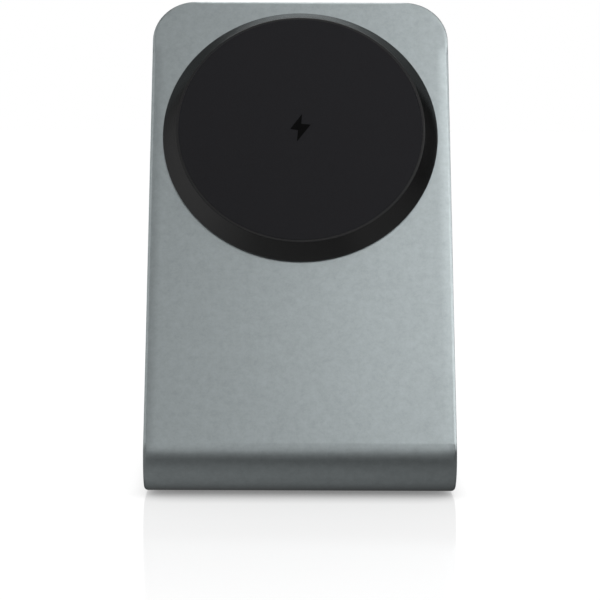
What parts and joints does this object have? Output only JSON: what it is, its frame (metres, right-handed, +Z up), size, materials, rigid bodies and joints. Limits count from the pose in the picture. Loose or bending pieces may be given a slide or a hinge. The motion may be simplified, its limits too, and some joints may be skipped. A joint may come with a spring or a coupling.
{
  "type": "wireless charging phone holder",
  "caption": "Phone stand bent from one aluminium plate, with a round black magnetic charging pad on the leaning leaf, a cover with a charging inlet behind it and a rubber foot.",
  "frame": {"origin": "middle of the footprint on the table: half of the width, half of the depth, underside of the rubber foot", "axes": "+Z up, -Y to the front where the pad faces, +X to the right when looking at the pad"},
  "size_m": [0.0654, 0.088, 0.1037],
  "materials": {
    "anodised_aluminium": "fine blasted, anodised space grey",
    "foot_rubber": "matte",
    "black_plastic": "satin",
    "soft_face": "soft touch, matte",
    "grey_plastic": "moulded",
    "magnet": "nickel plated",
    "steel": "bright",
    "black_steel": "black oxide",
    "copper": "enamelled strands",
    "ferrite": "sintered",
    "board": "solder mask",
    "chip": "moulded",
    "capacitor": "fired ceramic"
  },
  "bodies": {
    "root": {"base_foot": "foot_rubber", "bridge_switches": "chip", "charging_coil": "copper", "circuit_board": "board", "coil_carrier": "grey_plastic", "coil_leads": "copper", "controller_chip": "chip", "cover_screws": "black_steel", "ferrite_shield": "ferrite", "input_inductor": "ferrite", "magnet_yoke": "steel", "pad_face": "soft_face", "pad_shell": "black_plastic", "rear_cover": "black_plastic", "ring_magnet_01": "magnet", "ring_magnet_02": "magnet", "ring_magnet_03": "magnet", "ring_magnet_04": "magnet", "ring_magnet_05": "magnet", "ring_magnet_06": "magnet", "ring_magnet_07": "magnet", "ring_magnet_08": "magnet", "ring_magnet_09": "magnet", "ring_magnet_10": "magnet", "ring_magnet_11": "magnet", "ring_magnet_12": "magnet", "ring_magnet_13": "magnet", "ring_magnet_14": "magnet", "ring_magnet_15": "magnet", "ring_magnet_16": "magnet", "socket_shell": "steel", "socket_tongue": "black_plastic", "stand_body": "anodised_aluminium", "tuning_capacitors": "capacitor"}
  },
  "joints": []
}
